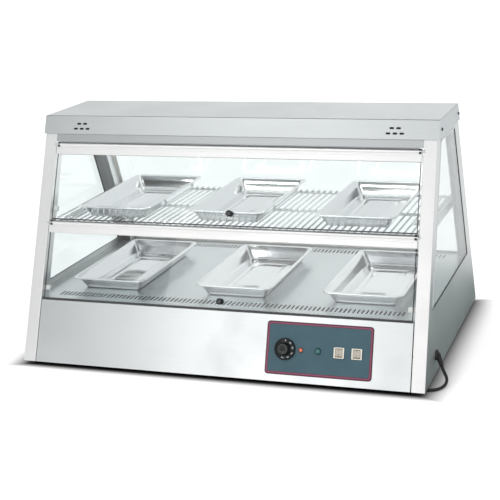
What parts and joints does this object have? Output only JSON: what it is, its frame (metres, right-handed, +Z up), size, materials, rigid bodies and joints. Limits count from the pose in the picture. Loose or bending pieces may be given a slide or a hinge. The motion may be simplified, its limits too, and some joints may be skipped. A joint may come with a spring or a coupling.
{
  "type": "heated display case",
  "caption": "Countertop heated display case in sheet metal with leaning faces, lift-up glass flaps, glass sides, a wire rack, a slotted warm plate, lift-out trays and a control panel.",
  "frame": {"origin": "on the surface that the case stands on, under the middle of its body", "axes": "+X to the right as a person facing the flaps and the controls sees it, +Y to the back, +Z up"},
  "size_m": [0.9389, 0.7205, 0.521],
  "materials": {
    "stainless": "brushed",
    "polished_stainless": "polished",
    "screw_steel": "satin",
    "chromed_wire": "polished",
    "heater_steel": "matte",
    "bright_steel": "satin",
    "aluminium_rail": "satin",
    "clear_glass": "polished",
    "lamp_glass": "opal",
    "white_enamel": "gloss",
    "control_teal": "satin",
    "black_rubber": "matte",
    "white_rubber": "matte",
    "black_cord": "satin",
    "black_plastic": "satin",
    "grey_plastic": "matte",
    "white_plastic": "matte",
    "cream_plastic": "gloss",
    "orange_lens": "gloss",
    "green_lens": "gloss"
  },
  "bodies": {
    "case": {"base_pan": "stainless", "base_front_panel": "stainless", "base_rear_panel": "stainless", "side_frame_left": "stainless", "side_frame_right": "stainless", "top_cap": "stainless", "top_rail_front": "stainless", "top_rail_rear": "stainless", "shelf_plate": "stainless", "rack_ledge_left": "stainless", "rack_ledge_right": "stainless", "heater_stands": "stainless", "heat_shield": "stainless", "cap_screws": "screw_steel", "feet": "black_rubber", "side_gasket_left": "black_rubber", "side_gasket_right": "black_rubber", "side_glass_left": "clear_glass", "side_glass_right": "clear_glass", "rear_glass": "clear_glass", "lamp_batten": "white_enamel", "lamp_holders": "white_plastic", "terminal_block": "white_plastic", "lamp_tube": "lamp_glass", "heater_left": "heater_steel", "heater_right": "heater_steel", "control_plate": "control_teal", "thermostat": "grey_plastic", "thermostat_bulb": "bright_steel", "cord_gland": "black_plastic", "pilot_lamp_orange": "orange_lens", "pilot_lamp_green": "green_lens", "power_cord": "black_cord", "cord_coil": "black_cord", "power_plug": "black_cord", "rear_gasket": "white_rubber", "upper_flap_stops": "white_rubber", "lower_flap_stops": "white_rubber", "switch_housing_1": "cream_plastic", "switch_housing_2": "cream_plastic"},
    "upper_flap": {"upper_flap_rail": "aluminium_rail", "upper_flap_ends": "black_plastic", "upper_flap_glass": "clear_glass", "upper_flap_knob": "black_plastic"},
    "lower_flap": {"lower_flap_rail": "aluminium_rail", "lower_flap_ends": "black_plastic", "lower_flap_glass": "clear_glass", "lower_flap_knob": "black_plastic"},
    "dial": {"thermostat_knob": "black_plastic", "thermostat_spindle": "bright_steel"},
    "rocker_1": {"switch_rocker_1": "cream_plastic"},
    "rocker_2": {"switch_rocker_2": "cream_plastic"},
    "rack": {"wire_rack": "chromed_wire"},
    "lower_tray_1": {"lower_tray_1": "polished_stainless"},
    "lower_tray_2": {"lower_tray_2": "polished_stainless"},
    "lower_tray_3": {"lower_tray_3": "polished_stainless"},
    "upper_tray_1": {"upper_tray_1": "polished_stainless"},
    "upper_tray_2": {"upper_tray_2": "polished_stainless"},
    "upper_tray_3": {"upper_tray_3": "polished_stainless"}
  },
  "joints": [
    {"name": "upper_flap_hinge", "type": "hinge", "parent": "case", "child": "upper_flap", "pos_m": [0, -0.11724, 0.45746], "axis": [-1, 0, 0], "range_deg": [0, 90]},
    {"name": "lower_flap_hinge", "type": "hinge", "parent": "case", "child": "lower_flap", "pos_m": [0, -0.18079, 0.2928], "axis": [-1, 0, 0], "range_deg": [0, 90]},
    {"name": "dial_turn", "type": "hinge", "parent": "case", "child": "dial", "pos_m": [0.154, -0.27256, 0.07058], "axis": [0, 0.9329, -0.3601], "range_deg": [0, 270]},
    {"name": "switch_1_rock", "type": "hinge", "parent": "case", "child": "rocker_1", "pos_m": [0.2693, -0.27032, 0.06971], "axis": [1, 0, 0], "range_deg": [0, 16]},
    {"name": "switch_2_rock", "type": "hinge", "parent": "case", "child": "rocker_2", "pos_m": [0.3069, -0.27032, 0.06971], "axis": [1, 0, 0], "range_deg": [0, 16]},
    {"name": "rack_lift", "type": "slide", "parent": "case", "child": "rack", "axis": [0, 0, 1], "range_m": [0, 0.005]},
    {"name": "upper_tray_1_lift", "type": "slide", "parent": "rack", "child": "upper_tray_1", "axis": [0, 0, 1], "range_m": [0, 0.005]},
    {"name": "upper_tray_2_lift", "type": "slide", "parent": "rack", "child": "upper_tray_2", "axis": [0, 0, 1], "range_m": [0, 0.005]},
    {"name": "upper_tray_3_lift", "type": "slide", "parent": "rack", "child": "upper_tray_3", "axis": [0, 0, 1], "range_m": [0, 0.005]},
    {"name": "lower_tray_1_lift", "type": "slide", "parent": "case", "child": "lower_tray_1", "axis": [0, 0, 1], "range_m": [0, 0.06]},
    {"name": "lower_tray_2_lift", "type": "slide", "parent": "case", "child": "lower_tray_2", "axis": [0, 0, 1], "range_m": [0, 0.06]},
    {"name": "lower_tray_3_lift", "type": "slide", "parent": "case", "child": "lower_tray_3", "axis": [0, 0, 1], "range_m": [0, 0.06]}
  ]
}
